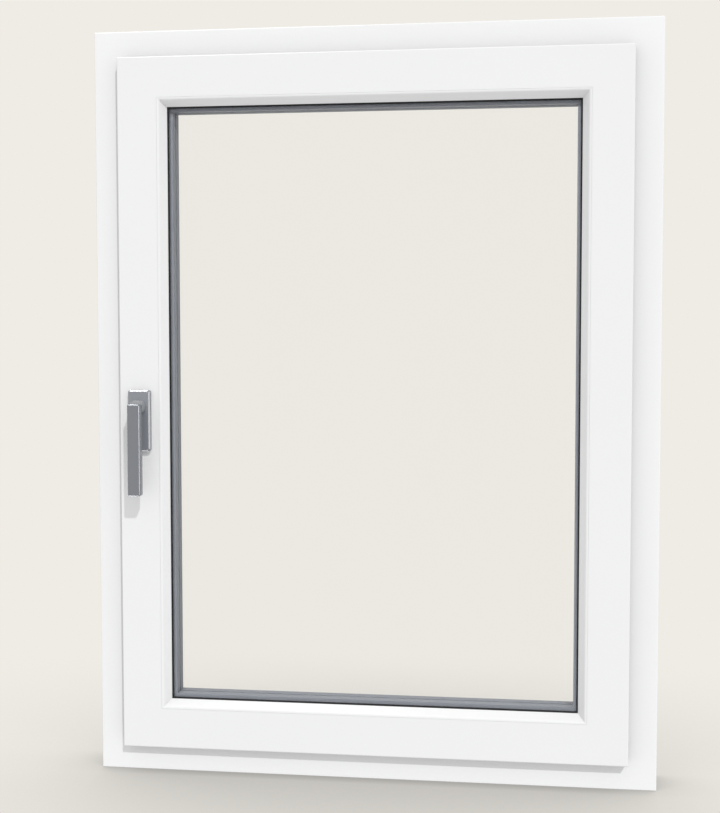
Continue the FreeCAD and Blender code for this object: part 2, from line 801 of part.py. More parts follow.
rosette = new_body("handle_rosette")
rosette_outline = rectangle(
    handle_x - rosette_width / 2,
    handle_x + rosette_width / 2,
    rosette_top - rosette_height,
    rosette_top,
    rosette_round,
)
boss_hole = Circle(handle_x, handle_level, hub_boss + running_gap)
pad(rosette, "XZ_Plane", [rosette_outline, boss_hole], rosette_depth, lift=-sash_front)


def on_rosette_rim(point):
    """True on the front rim of the rosette, outside the spindle hole."""
    away = ((point.x - handle_x.number) ** 2 + (point.z - handle_level.number) ** 2) ** 0.5
    return abs(point.y - rosette_front.number) < touch and away > hub_radius.number


break_edges(rosette, "Chamfer", rosette_chamfer, on_rosette_rim)

hub = new_body("handle_hub")
hub_back = rosette_front - running_gap
neck = Circle(handle_x, handle_level, hub_radius)
pad(hub, "XZ_Plane", [neck], hub_back - grip_back, lift=-hub_back)
boss = Circle(handle_x, handle_level, hub_boss)
boss_end = rosette_front + hub_boss_depth
pad(hub, "XZ_Plane", [boss], boss_end - hub_back, lift=-boss_end)

grip = new_body("handle_grip")
grip_top = handle_level + grip_rise
grip_outline = rectangle(
    handle_x - grip_width / 2, handle_x + grip_width / 2, grip_top - grip_length, grip_top, grip_round
)
pad(grip, "XZ_Plane", [grip_outline], grip_depth, lift=-grip_back)
break_edges(grip, "Fillet", grip_round, lambda point: abs(point.y - grip_face.number) < touch)

doc.recompute()
os.makedirs("parts", exist_ok=True)
kinds = ("PartDesign::Body", "Part::Box")
for item in doc.Objects:
    if {"Invalid", "Error"} & set(item.State):
        raise RuntimeError(f"{item.Label} didn't build: {item.State}")
    if item.TypeId in kinds:
        if item.Shape.isNull() or not item.Shape.isValid():
            raise RuntimeError(f"{item.Label} has no valid shape")
        item.Shape.exportStep(f"parts/{item.Label}.step")
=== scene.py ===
"""Looks of a white tilt and turn window with triple glazing, concealed hinges and a grey lever handle.

Axes as in the part: x to the right seen from the room, y towards the outside, z up, in metres.
"""
from __future__ import annotations

import json
import logging
import math
from dataclasses import dataclass
from enum import Enum
from typing import Mapping, Optional, Sequence, Union

import bmesh
import bpy
from mathutils import Matrix, Vector

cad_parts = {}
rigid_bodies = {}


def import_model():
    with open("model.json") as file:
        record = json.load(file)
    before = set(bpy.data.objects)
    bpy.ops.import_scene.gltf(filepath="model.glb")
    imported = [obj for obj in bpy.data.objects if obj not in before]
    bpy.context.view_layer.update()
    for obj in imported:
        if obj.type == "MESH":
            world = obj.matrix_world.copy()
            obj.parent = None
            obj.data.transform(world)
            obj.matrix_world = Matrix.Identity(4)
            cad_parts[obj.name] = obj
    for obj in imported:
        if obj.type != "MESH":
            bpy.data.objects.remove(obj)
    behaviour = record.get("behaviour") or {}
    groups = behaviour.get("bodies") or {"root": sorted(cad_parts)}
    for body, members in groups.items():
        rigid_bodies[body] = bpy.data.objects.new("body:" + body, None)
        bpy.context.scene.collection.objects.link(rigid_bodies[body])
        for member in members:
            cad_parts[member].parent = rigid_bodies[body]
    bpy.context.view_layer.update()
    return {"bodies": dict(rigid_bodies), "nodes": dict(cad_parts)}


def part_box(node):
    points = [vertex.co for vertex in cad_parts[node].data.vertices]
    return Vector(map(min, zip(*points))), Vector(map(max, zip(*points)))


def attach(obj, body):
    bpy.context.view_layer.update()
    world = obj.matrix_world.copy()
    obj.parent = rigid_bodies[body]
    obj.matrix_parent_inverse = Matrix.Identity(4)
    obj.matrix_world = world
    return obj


# The start-up scene's own objects go first.
for leftover in list(bpy.data.objects):
    bpy.data.objects.remove(leftover)
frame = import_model()
log = logging.getLogger("window")

MM = 0.001
SHARP_ANGLE = math.radians(35)
WHITE_LIGHT = (1.0, 1.0, 1.0)
SPACER_NODES = ("inner_spacer", "outer_spacer")
HANDLE_NODES = ("handle_rosette", "handle_hub", "handle_grip")
Colour = tuple[float, float, float]
Point = tuple[float, float, float]
Operand = Union["Link", float]
Value = Union["Link", float, Sequence[float]]
Setting = Union[str, bool, int]


class Run(Enum):
    """The way a member runs, with the scale that its drawing lines have along each axis."""

    ACROSS = (6.0, 700.0, 700.0)
    UP = (700.0, 700.0, 6.0)


class Drive(Enum):
    """The recess in a screw's or a cam's head."""

    STAR = "star"
    HEX = "hex"


class Facing(Enum):
    """The way a row of heads faces."""

    LEFT = (-1.0, 0.0, 0.0)
    RIGHT = (1.0, 0.0, 0.0)
    UP = (0.0, 0.0, 1.0)
    DOWN = (0.0, 0.0, -1.0)


class Link:
    """An output socket that takes part in Python expressions on numbers."""

    def __init__(self, graph: Graph, socket: Optional[bpy.types.NodeSocket]) -> None:
        """Keep the socket, which an output node lacks, and the graph that new nodes go to."""
        self.graph = graph
        self.socket = socket

    def _math(self, operation: str, *operands: Operand) -> Link:
        """Add one Math node."""
        return self.graph.node("ShaderNodeMath", {"operation": operation}, dict(enumerate(operands)))

    def __add__(self, other: Operand) -> Link:
        """Sum of two values."""
        return self._math("ADD", self, other)

    def __radd__(self, other: float) -> Link:
        """Sum with a number on the left."""
        return self._math("ADD", other, self)

    def __sub__(self, other: Operand) -> Link:
        """Difference of two values."""
        return self._math("SUBTRACT", self, other)

    def __rsub__(self, other: float) -> Link:
        """A number less this value."""
        return self._math("SUBTRACT", other, self)

    def __mul__(self, other: Operand) -> Link:
        """Product of two values."""
        return self._math("MULTIPLY", self, other)

    def __rmul__(self, other: float) -> Link:
        """Product with a number on the left."""
        return self._math("MULTIPLY", other, self)

    def __truediv__(self, other: Operand) -> Link:
        """Quotient of two values."""
        return self._math("DIVIDE", self, other)

    def __lt__(self, other: Operand) -> Link:
        """One where this value is the smaller, else nought."""
        return self._math("LESS_THAN", self, other)

    def __abs__(self) -> Link:
        """Size of the value without its sign."""
        return self._math("ABSOLUTE", self)

    def fraction(self) -> Link:
        """What is left of the value after its whole part."""
        return self._math("FRACT", self)

    def larger(self, other: Operand) -> Link:
        """The larger of two values."""
        return self._math("MAXIMUM", self, other)

    def beside(self, *names: str) -> tuple[Link, ...]:
        """Outputs of the same node, by their names."""
        return tuple(Link(self.graph, self.socket.node.outputs[name]) for name in names)


class Graph:
    """A node tree with one method that adds any node."""

    def __init__(self, tree: bpy.types.NodeTree) -> None:
        """Keep the tree."""
        self.tree = tree

    def node(
        self,
        kind: str,
        settings: Optional[Mapping[str, Setting]] = None,
        inputs: Optional[Mapping[Union[int, str], Value]] = None,
        output: Union[int, str] = 0,
    ) -> Link:
        """Add a node.

        Args:
            kind: The node's type.
            settings: Its properties, by name.
            inputs: Values or links for its sockets, by name or place.
            output: The output socket that is returned.

        Returns:
            The output as a link.
        """
        made = self.tree.nodes.new(kind)
        for name, setting in (settings or {}).items():
            setattr(made, name, setting)
        for key, value in (inputs or {}).items():
            self.feed(made.inputs[key], value)
        return Link(self, made.outputs[output] if made.outputs else None)

    def feed(self, socket: bpy.types.NodeSocket, value: Value) -> None:
        """Link a socket, or set its own value.

        Args:
            socket: The socket.
            value: A link, a number or a row of numbers.
        """
        if isinstance(value, Link):
            self.tree.links.new(value.socket, socket)
        elif socket.type == "RGBA":
            socket.default_value = (*value, 1.0)
        else:
            socket.default_value = value

    def place(self) -> Link:
        """Object coordinates, which are the part's own metres."""
        return self.node("ShaderNodeTexCoord", output="Object")

    def axes(self) -> tuple[Link, ...]:
        """The three object coordinates as numbers."""
        return self.node("ShaderNodeSeparateXYZ", inputs={0: self.place()}).beside("X", "Y", "Z")

    def stretched(self, scale: Sequence[float]) -> Link:
        """Object coordinates stretched by a scale along each axis."""
        return self.node("ShaderNodeMapping", inputs={"Vector": self.place(), "Scale": scale})

    def noise(self, scale: float, detail: float = 2.0, vector: Optional[Link] = None) -> Link:
        """A noise value from nought to one."""
        inputs = {"Scale": scale, "Detail": detail, "Vector": vector or self.place()}
        return self.node("ShaderNodeTexNoise", inputs=inputs)

    def blend(self, factor: Link, low: Union[Colour, Link], high: Union[Colour, Link]) -> Link:
        """A colour between two, by a factor."""
        settings = {"data_type": "RGBA", "clamp_factor": True}
        return self.node("ShaderNodeMix", settings, {0: factor, 6: low, 7: high}, output=2)

    def bump(self, height: Link, strength: float, depth: float = 0.2 * MM) -> Link:
        """A normal that follows a height."""
        inputs = {"Height": height, "Strength": strength, "Distance": depth}
        return self.node("ShaderNodeBump", inputs=inputs)


@dataclass(frozen=True)
class Finish:
    """A surface that a piece of the window is given."""

    name: str

    def material(self) -> bpy.types.Material:
        """Make the material, or find it if it is there already.

        Returns:
            The material of this finish's name.
        """
        found = bpy.data.materials.get(self.name)
        if found:
            return found
        made = bpy.data.materials.new(self.name)
        made.use_nodes = True
        graph = Graph(made.node_tree)
        surface = made.node_tree.nodes["Principled BSDF"]
        for socket, value in self.sockets(graph).items():
            graph.feed(surface.inputs[socket], value)
        return made

    def sockets(self, graph: Graph) -> dict[str, Value]:
        """Values and links for the shader's sockets.

        Args:
            graph: The material's graph.

        Returns:
            What goes into each socket, by its name.
        """
        raise NotImplementedError


@dataclass(frozen=True)
class WhiteProfile(Finish):
    """Satin white extruded plastic, with faint drawing lines along the member."""

    run: Run
    pale: Colour = (0.895, 0.897, 0.90)
    shade: Colour = (0.875, 0.877, 0.88)
    # Colour that only bounced light sees, darker than the surface's own: painted shade between parts.
    bounce_colour_for_shade: Colour = (0.42, 0.42, 0.42)
    mottle_scale: float = 5.0
    peel_scale: float = 900.0
    peel_share: float = 0.3
    satin: float = 0.30
    line_satin: float = 0.08
    mottle_satin: float = 0.05
    relief: float = 0.05
    ior: float = 1.46

    def sockets(self, graph: Graph) -> dict[str, Value]:
        """Soft mottling, drawing lines and a fine orange peel, with a darker colour for light bounced onto
        neighbours, which paints shade between parts.

        Args:
            graph: The material's graph.

        Returns:
            What goes into each socket, by its name.
        """
        mottle = graph.noise(self.mottle_scale, detail=3.0)
        lines = graph.noise(1.0, vector=graph.stretched(self.run.value))
        peel = graph.noise(self.peel_scale, detail=1.0)
        colour = graph.blend(mottle, self.shade, self.pale)
        # Painted shade: light bounced off this surface takes a darker colour, so the faces beside it stay
        # darker.
        bounce_rays_for_shade = graph.node("ShaderNodeLightPath", output="Is Diffuse Ray")
        height = (1.0 - self.peel_share) * lines + self.peel_share * peel
        return {
            "Base Color": graph.blend(bounce_rays_for_shade, colour, self.bounce_colour_for_shade),
            "Roughness": self.satin + self.line_satin * lines + self.mottle_satin * mottle,
            "Normal": graph.bump(height, self.relief),
            "IOR": self.ior,
        }


@dataclass(frozen=True)
class BlackRubber(Finish):
    """Dull black sealing rubber with a bloom of grey."""

    dark: Colour = (0.012, 0.013, 0.014)
    bloom: Colour = (0.024, 0.025, 0.027)
    patch_scale: float = 40.0
    grain_scale: float = 1800.0
    dull: float = 0.55
    bloom_dull: float = 0.2
    sheen: float = 0.2
    relief: float = 0.15

    def sockets(self, graph: Graph) -> dict[str, Value]:
        """Patchy bloom and a fine grain.

        Args:
            graph: The material's graph.

        Returns:
            What goes into each socket, by its name.
        """
        patch = graph.noise(self.patch_scale, detail=4.0)
        grain = graph.noise(self.grain_scale)
        return {
            "Base Color": graph.blend(patch, self.dark, self.bloom),
            "Roughness": self.dull + self.bloom_dull * patch,
            "Specular IOR Level": self.sheen,
            "Normal": graph.bump(grain, self.relief),
        }


@dataclass(frozen=True)
class ClearGlass(Finish):
    """Float glass that mirrors more the flatter it is looked along, with a trace of wiping."""

    clean: Colour = (0.66, 0.675, 0.66)
    wiped: Colour = (0.58, 0.595, 0.58)
    wipe_scale: float = 3.0
    wipe_stretch: Point = (1.0, 1.0, 0.35)
    straight_on: float = 0.008
    wiped_on: float = 0.006
    flat_on: float = 0.5
    polish: float = 0.01
    wipe_haze: float = 0.02

    def sockets(self, graph: Graph) -> dict[str, Value]:
        """A thin mirror, which the rest of the light passes.

        Args:
            graph: The material's graph.

        Returns:
            What goes into each socket, by its name.
        """
        marks = graph.noise(self.wipe_scale, detail=4.0, vector=graph.stretched(self.wipe_stretch))
        facing = graph.node("ShaderNodeLayerWeight", inputs={"Blend": 0.5}, output="Facing")
        square = facing * facing
        return {
            "Base Color": graph.blend(marks, self.clean, self.wiped),
            "Metallic": 1.0,
            "Roughness": self.polish + self.wipe_haze * marks,
            "Alpha": self.straight_on + self.wiped_on * marks + self.flat_on * square * square * facing,
        }


@dataclass(frozen=True)
class GreySpacer(Finish):
    """Warm edge spacer, with two rows of fine holes towards the cavity, painted darker as the shade inside
    them.
    """

    middle: float
    face: Colour = (0.232, 0.246, 0.275)
    # Darker colour in the holes: painted shade of their depth.
    hole_shade: Colour = (0.17, 0.18, 0.2)
    pitch: float = 4.0 * MM
    row: float = 4.0 * MM
    hole_radius: float = 0.4 * MM
    grain_scale: float = 300.0
    grain_share: float = 0.1
    dull: float = 0.5
    grain_dull: float = 0.06
    sheen: float = 0.25
    relief: float = 0.04

    def sockets(self, graph: Graph) -> dict[str, Value]:
        """Holes along both rows, painted darker as their shade, and a fine grain.

        Args:
            graph: The material's graph.

        Returns:
            What goes into each socket, by its name.
        """
        x, y, z = graph.axes()
        along = (((x + z) / self.pitch).fraction() - 0.5) * self.pitch
        off_row = abs(y - self.middle) - self.row
        holes = (along * along + off_row * off_row) < self.hole_radius * self.hole_radius
        grain = graph.noise(self.grain_scale, detail=3.0)
        return {
            # Painted shade in the holes.
            "Base Color": graph.blend(holes, self.face, self.hole_shade),
            "Roughness": self.dull + self.grain_dull * grain,
            "Normal": graph.bump(self.grain_share * grain - holes, self.relief),
            "Specular IOR Level": self.sheen,
        }


@dataclass(frozen=True)
class GreyLacquer(Finish):
    """Titanium grey lacquer on cast metal, with a fine flake."""

    deep: Colour = (0.183, 0.193, 0.217)
    flake: Colour = (0.213, 0.225, 0.251)
    metal: float = 0.35
    flake_scale: float = 2600.0
    peel_scale: float = 260.0
    satin: float = 0.17
    peel_satin: float = 0.08
    sheen: float = 0.8
    relief: float = 0.02

    def sockets(self, graph: Graph) -> dict[str, Value]:
        """Flake in the colour, a satin film and a faint peel.

        Args:
            graph: The material's graph.

        Returns:
            What goes into each socket, by its name.
        """
        flakes = graph.noise(self.flake_scale)
        peel = graph.noise(self.peel_scale)
        return {
            "Base Color": graph.blend(flakes, self.deep, self.flake),
            "Roughness": self.satin + self.peel_satin * peel,
            "Metallic": self.metal,
            "Specular IOR Level": self.sheen,
            "Normal": graph.bump(peel, self.relief),
        }


@dataclass(frozen=True)
class ZincSteel(Finish):
    """Zinc plated steel strip, brushed along its run, with a blue and straw passivation."""

    run: Run
    straw: Colour = (0.50, 0.49, 0.46)
    blue: Colour = (0.46, 0.48, 0.50)
    cloud_scale: float = 28.0
    line_scale: float = 2.0
    satin: float = 0.24
    line_satin: float = 0.2
    cloud_satin: float = 0.08
    relief: float = 0.12
    depth: float = 0.1 * MM

    def sockets(self, graph: Graph) -> dict[str, Value]:
        """Cloudy passivation and brushed lines.

        Args:
            graph: The material's graph.

        Returns:
            What goes into each socket, by its name.
        """
        cloud = graph.noise(self.cloud_scale, detail=4.0)
        fine = [self.line_scale * scale for scale in self.run.value]
        lines = graph.noise(1.0, detail=3.0, vector=graph.stretched(fine))
        return {
            "Base Color": graph.blend(cloud, self.straw, self.blue),
            "Roughness": self.satin + self.line_satin * lines + self.cloud_satin * cloud,
            "Metallic": 1.0,
            "Normal": graph.bump(lines, self.relief, self.depth),
        }


@dataclass(frozen=True)
class SlottedSteel(ZincSteel):
    """A plated faceplate with a dark slot round each cam, where the cam slides; the slot is painted shade,
    with no opening in the mesh.
    """

    line: float = 0.0
    first: float = 0.0
    pitch: float = 1.0
    # Near-black painted shade of a slot, which the mesh doesn't have.
    slot_shade: Colour = (0.02, 0.02, 0.021)
    slot_dull: float = 0.7
    reach: float = 16 * MM
    half: float = 3.6 * MM

    def sockets(self, graph: Graph) -> dict[str, Value]:
        """The strip's own look, with painted shade in the slots.

        Args:
            graph: The material's graph.

        Returns:
            What goes into each socket, by its name.
        """
        plain = super().sockets(graph)
        x, y, z = graph.axes()
        along = z if self.run is Run.UP else x
        turns = (along - self.first) / self.pitch + 0.5
        off = abs(turns.fraction() - 0.5) * self.pitch
        inside = (off < self.reach) * (abs(y - self.line) < self.half)
        return plain | {
            # Painted shade in the slots.
            "Base Color": graph.blend(inside, plain["Base Color"], self.slot_shade),
            "Roughness": plain["Roughness"].larger(self.slot_dull * inside),
            "Metallic": 1.0 - inside,
        }


@dataclass(frozen=True)
class ScrewHead:
    """A low round head with a recess, in metres."""

    radius: float
    height: float
    recess: float
    recess_radius: float
    drive: Drive
    crown: float = 0.78
    rounding: float = 0.3
    lobe: float = 0.14
    sides: int = 6
    segments: int = 24

    def reach(self, angle: float) -> float:
        """How far the recess reaches.

        Args:
            angle: The direction from the head's middle, in radians.

        Returns:
            A share of the recess's radius.
        """
        if self.drive is Drive.HEX:
            flat = math.tau / self.sides
            return math.cos(flat / 2) / math.cos(angle % flat - flat / 2)
        return 1.0 - self.lobe + self.lobe * math.cos(self.sides * angle)

    def mesh(self) -> bpy.types.Mesh:
        """Build one head at the origin.

        Returns:
            A mesh whose foot is at z 0 and whose recess opens to +z.
        """
        shape = bmesh.new()
        bmesh.ops.create_cone(
            shape,
            cap_ends=True,
            segments=self.segments,
            radius1=self.radius,
            radius2=self.radius * self.crown,
            depth=self.height,
        )
        bmesh.ops.translate(shape, verts=shape.verts, vec=(0, 0, self.height / 2))
        shape.faces.ensure_lookup_table()
        top = max(shape.faces, key=lambda face: face.calc_center_median().z)
        rim = list(top.edges)
        bmesh.ops.inset_region(shape, faces=[top], thickness=self.radius * self.crown - self.recess_radius)
        for corner in top.verts:
            share = self.reach(math.atan2(corner.co.y, corner.co.x))
            bmesh.ops.scale(shape, vec=(share, share, 1), verts=[corner])
        floor = bmesh.ops.extrude_discrete_faces(shape, faces=[top])["faces"][0]
        bmesh.ops.translate(shape, vec=(0, 0, -self.recess), verts=floor.verts)
        bmesh.ops.bevel(
            shape,
            geom=rim,
            offset=self.height * self.rounding,
            segments=2,
            profile=0.5,
            affect="EDGES",
            material=-1,
        )
        bmesh.ops.recalc_face_normals(shape, faces=shape.faces)
        made = bpy.data.meshes.new("head")
        shape.to_mesh(made)
        shape.free()
        return made


@dataclass(frozen=True)
class LockLine:
    """Where the lock fittings are, which the faceplates and the strikers share."""

    y: float = -26 * MM
    cams: tuple[float, ...] = (220 * MM, 600 * MM, 980 * MM)
    striker_start: float = 12.5 * MM

    def rail_cam(self) -> float:
        """Where the cams of the two rails are, across the window."""
        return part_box("head_striker")[1].x + self.striker_start


LOCK = LockLine()
PLATE_SCREW = ScrewHead(3.6 * MM, 0.8 * MM, 0.6 * MM, 1.7 * MM, Drive.STAR)
CAM_CAP = ScrewHead(4.2 * MM, 0.5 * MM, 0.4 * MM, 2.1 * MM, Drive.HEX, crown=0.94)
STEEL_ACROSS = ZincSteel("zinc_steel_across", Run.ACROSS)
STEEL_UP = ZincSteel("zinc_steel_up", Run.UP)
SCREW_STEEL = ZincSteel("screw_steel", Run.UP, (0.40, 0.39, 0.36), (0.34, 0.355, 0.375))
WHITE_ACROSS = WhiteProfile("white_profile_across", Run.ACROSS)
WHITE_UP = WhiteProfile("white_profile_up", Run.UP)
RUBBER = BlackRubber("black_rubber")


@dataclass
class Assembly:
    """Pieces of the window that belong together."""

    def paint(self, finish: Finish, *nodes: str) -> None:
        """Give CAD nodes a finish.

        Args:
            finish: The finish.
            nodes: Names of the nodes.
        """
        for node in nodes:
            mesh = frame["nodes"][node].data
            mesh.materials.clear()
            mesh.materials.append(finish.material())
            log.info("%s wears %s", node, finish.name)


@dataclass
class ScrewedAssembly(Assembly):
    """Pieces with screws and caps, which ride on one body of the part."""

    body: str

    def heads(self, name: str, head: ScrewHead, places: Sequence[Point], facing: Facing) -> None:
        """Set a row of heads on a face.

        Args:
            name: The piece's name.
            head: The head that is repeated.
            places: Where the heads' feet are.
            facing: The way that the heads face.
        """
        single = head.mesh()
        turn = Vector(Facing.UP.value).rotation_difference(Vector(facing.value)).to_matrix().to_4x4()
        row = bmesh.new()
        for spot in places:
            before = len(row.verts)
            row.from_mesh(single)
            row.verts.ensure_lookup_table()
            bmesh.ops.transform(row, matrix=Matrix.Translation(spot) @ turn, verts=row.verts[before:])
        for face in row.faces:
            face.smooth = True
        made = bpy.data.meshes.new(name)
        row.to_mesh(made)
        row.free()
        bpy.data.meshes.remove(single)
        made.set_sharp_from_angle(angle=SHARP_ANGLE)
        made.materials.append(SCREW_STEEL.material())
        piece = bpy.data.objects.new(name, made)
        bpy.context.scene.collection.objects.link(piece)
        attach(piece, self.body)
        log.info("%s: %d heads on %s", name, len(places), self.body)


@dataclass
class OuterFrame(ScrewedAssembly):
    """The fixed frame with its seal, strikers, hinge plates and drain caps."""

    body: str = "frame"
    striker_screws: tuple[float, ...] = (10 * MM, 36 * MM)
    striker_floor: float = 2.4 * MM
    striker_line: float = LOCK.y + 2 * MM
    plate_inset_left: float = 7 * MM
    plate_inset_right: float = 4 * MM

    def dress(self) -> None:
        """Give every node its finish."""
        self.paint(WHITE_ACROSS, "frame_sill", "frame_head", "drain_caps")
        self.paint(WHITE_UP, "frame_lock_jamb", "frame_hinge_jamb")
        self.paint(RUBBER, "frame_seal")
        self.paint(STEEL_UP, "lock_strikers")
        self.paint(STEEL_ACROSS, "head_striker", "sill_striker")
        self.paint(STEEL_ACROSS, "lower_hinge_frame_plate", "upper_hinge_frame_plate")

    def build(self) -> None:
        """Set the screws of the strikers and the hinge plates."""
        line = self.striker_line
        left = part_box("lock_strikers")[0].x + self.striker_floor
        tops = [cam - LOCK.striker_start for cam in LOCK.cams]
        spots = [(left, line, top - run) for top in tops for run in self.striker_screws]
        self.heads("lock_striker_screws", PLATE_SCREW, spots, Facing.RIGHT)
        _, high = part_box("head_striker")
        spots = [(high.x - run, line, high.z - self.striker_floor) for run in self.striker_screws]
        self.heads("head_striker_screws", PLATE_SCREW, spots, Facing.DOWN)
        low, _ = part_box("sill_striker")
        spots = [(low.x + run, line, low.z + self.striker_floor) for run in self.striker_screws]
        self.heads("sill_striker_screws", PLATE_SCREW, spots, Facing.UP)
        plates = {"lower_hinge_frame_plate": Facing.UP, "upper_hinge_frame_plate": Facing.DOWN}
        for name, facing in plates.items():
            low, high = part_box(name)
            level = high.z if facing is Facing.UP else low.z
            ends = (low.x + self.plate_inset_left, high.x - self.plate_inset_right)
            self.heads(f"{name}_screws", PLATE_SCREW, [(x, LOCK.y, level) for x in ends], facing)


@dataclass
class Sash(ScrewedAssembly):
    """The moving sash with its beads, seals, glass unit and lock fittings."""

    body: str = "sash"
    lock_screws: tuple[float, ...] = tuple(z * MM for z in (135, 300, 430, 520, 680, 770, 900, 1065))
    hinge_screws: tuple[float, ...] = tuple(z * MM for z in (135, 400, 800, 1065))
    top_screws: tuple[float, ...] = tuple(x * MM for x in (-325, -260, -120, -60))
    bottom_screws: tuple[float, ...] = tuple(x * MM for x in (-325, -120, 60, 240))

    def dress(self) -> None:
        """Give every node its finish."""
        self.paint(WHITE_ACROSS, "sash_bottom_rail", "sash_top_rail")
        self.paint(WHITE_ACROSS, "glazing_bead_bottom", "glazing_bead_top")
        self.paint(WHITE_UP, "sash_lock_stile", "sash_hinge_stile")
        self.paint(WHITE_UP, "glazing_bead_left", "glazing_bead_right")
        self.paint(RUBBER, "sash_seal", "inner_gasket", "outer_gasket")
        self.paint(ClearGlass("float_glass"), "inner_pane", "middle_pane", "outer_pane")
        for node in SPACER_NODES:
            low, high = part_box(node)
            self.paint(GreySpacer(f"{node}_grey", (low.y + high.y) / 2), node)
        first, second, _ = LOCK.cams
        slots = SlottedSteel("lock_faceplate_steel", Run.UP, line=LOCK.y, first=first, pitch=second - first)
        self.paint(slots, "lock_faceplate")
        self.paint(STEEL_UP, "hinge_faceplate", "locking_cams")
        slots = SlottedSteel("rail_faceplate_steel", Run.ACROSS, line=LOCK.y, first=LOCK.rail_cam())
        self.paint(slots, "top_faceplate", "bottom_faceplate")
        self.paint(STEEL_ACROSS, "lower_hinge_sash_plate")

    def build(self) -> None:
        """Set the screws of the faceplates and the caps of the cams."""
        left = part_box("lock_faceplate")[0].x
        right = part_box("hinge_faceplate")[1].x
        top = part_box("top_faceplate")[1].z
        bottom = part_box("bottom_faceplate")[0].z
        for side, x, facing, screws in (
            ("lock", left, Facing.LEFT, self.lock_screws),
            ("hinge", right, Facing.RIGHT, self.hinge_screws),
        ):
            spots = [(x, LOCK.y, z) for z in screws]
            self.heads(f"{side}_faceplate_screws", PLATE_SCREW, spots, facing)
        for rail, z, facing, screws in (
            ("top", top, Facing.UP, self.top_screws),
            ("bottom", bottom, Facing.DOWN, self.bottom_screws),
        ):
            spots = [(x, LOCK.y, z) for x in screws]
            self.heads(f"{rail}_faceplate_screws", PLATE_SCREW, spots, facing)
        low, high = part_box("locking_cams")
        self.heads("lock_cam_caps", CAM_CAP, [(low.x, LOCK.y, z) for z in LOCK.cams], Facing.LEFT)
        for rail, z, facing in (("top", high.z, Facing.UP), ("bottom", low.z, Facing.DOWN)):
            self.heads(f"{rail}_cam_cap", CAM_CAP, [(LOCK.rail_cam(), LOCK.y, z)], facing)


@dataclass
class LeverHandle(Assembly):
    """The lever handle and its rosette, each casting with a lacquer of its own: the hub's much lighter
    lacquer is a painted highlight, and the rosette's lighter one is painted light against the grip's shade.
    """

    grip: GreyLacquer = GreyLacquer("lever_lacquer")
    # Painted highlight: the hub's lacquer is lighter in place of the sheen its upper side catches.
    hub: GreyLacquer = GreyLacquer("neck_lacquer", (0.36, 0.372, 0.39), (0.41, 0.422, 0.44))
    # Painted light: the rosette's lacquer is lighter than the grip's to offset the shade and dark
    # reflections the grip throws on it.
    rosette: GreyLacquer = GreyLacquer("rosette_lacquer", (0.213, 0.225, 0.25), (0.246, 0.259, 0.287), 0.0)

    def dress(self) -> None:
        """Give every node its finish."""
        self.paint(self.grip, "handle_grip")
        self.paint(self.hub, "handle_hub")
        self.paint(self.rosette, "handle_rosette")


@dataclass
class HingeLinks(Assembly):
    """The arms, bracket, block and stay of the concealed hinges."""

    def dress(self) -> None:
        """Give every node its finish."""
        self.paint(STEEL_ACROSS, "lower_tilt_bracket", "lower_hinge_arm")
        self.paint(STEEL_ACROSS, "upper_hinge_arm", "upper_hinge_block", "stay_arm", "stay_slide_pin")


@dataclass(frozen=True)
class Viewpoint:
    """The photograph's camera, with its focal length in pixels and its angles in radians."""

    image_height: float = 813.0
    sensor: float = 36.0
    focal: float = 1416.819
    eye: Point = (0.29413, -2.26763, 0.73669)
    turn: float = 0.139762
    nod: float = -0.060113
    roll: float = 0.000812
    far: float = 100.0

    def build(self) -> None:
        """Place the camera where the photograph was taken from."""
        data = bpy.data.cameras.new("camera")
        data.sensor_width = self.sensor
        data.lens = self.focal * self.sensor / self.image_height
        data.clip_end = self.far
        made = bpy.data.objects.new("camera", data)
        aim = Matrix.Rotation(self.turn, 4, "Z") @ Matrix.Rotation(self.nod, 4, "X")
        aim = aim @ Matrix.Rotation(self.roll, 4, "Y") @ Matrix.Rotation(math.pi / 2, 4, "X")
        made.matrix_world = Matrix.Translation(self.eye) @ aim
        bpy.context.scene.collection.objects.link(made)
        bpy.context.scene.camera = made


@dataclass(frozen=True)
class Lamp:
    """A lamp, which can be kept to some pieces."""

    name: str

    def hang(
        self,
        data: bpy.types.Light,
        ray: Vector,
        pieces: Sequence[bpy.types.Object],
    ) -> bpy.types.Object:
        """Put the lamp into the scene.

        Args:
            data: Its light.
            ray: The way its light travels.
            pieces: The pieces it lights, or none where it lights everything.

        Returns:
            The lamp, at the origin.
        """
        made = bpy.data.objects.new(self.name, data)
        made.rotation_mode = "QUATERNION"
        made.rotation_quaternion = ray.to_track_quat("-Z", "Y")
        bpy.context.scene.collection.objects.link(made)
        if pieces:
            lit = bpy.data.collections.new(f"{self.name}_lit")
            for piece in pieces:
                lit.objects.link(piece)
            made.light_linking.receiver_collection = lit
        return made


@dataclass(frozen=True)
class Sun(Lamp):
    """A sun above and in front of the window, with the light it gives an upright face to the room."""

    travel: Point
    front: float
    width: float = math.radians(1.5)

    def build(self, pieces: Sequence[bpy.types.Object]) -> None:
        """Add the sun.

        Args:
            pieces: The pieces it lights.
        """
        ray = Vector(self.travel).normalized()
        data = bpy.data.lights.new(self.name, "SUN")
        data.energy = self.front / ray.y
        data.angle = self.width
        self.hang(data, ray, pieces)


@dataclass(frozen=True)
class SoftBox(Lamp):
    """A flat lamp that shows as a sheen, with the glow of its face against white paper's."""

    place: Point
    size: tuple[float, float]
    glow: float
    sheen_only: bool = True

    def build(self, aim: Vector, pieces: Sequence[bpy.types.Object] = ()) -> None:
        """Add the lamp.

        Args:
            aim: The point it faces.
            pieces: The pieces it lights, or none where it lights everything.
        """
        data = bpy.data.lights.new(self.name, "AREA")
        data.shape = "RECTANGLE"
        data.size, data.size_y = self.size
        data.energy = self.glow * math.pi * self.size[0] * self.size[1]
        made = self.hang(data, aim - Vector(self.place), pieces)
        made.location = self.place
        made.visible_camera = False
        made.visible_diffuse = not self.sheen_only


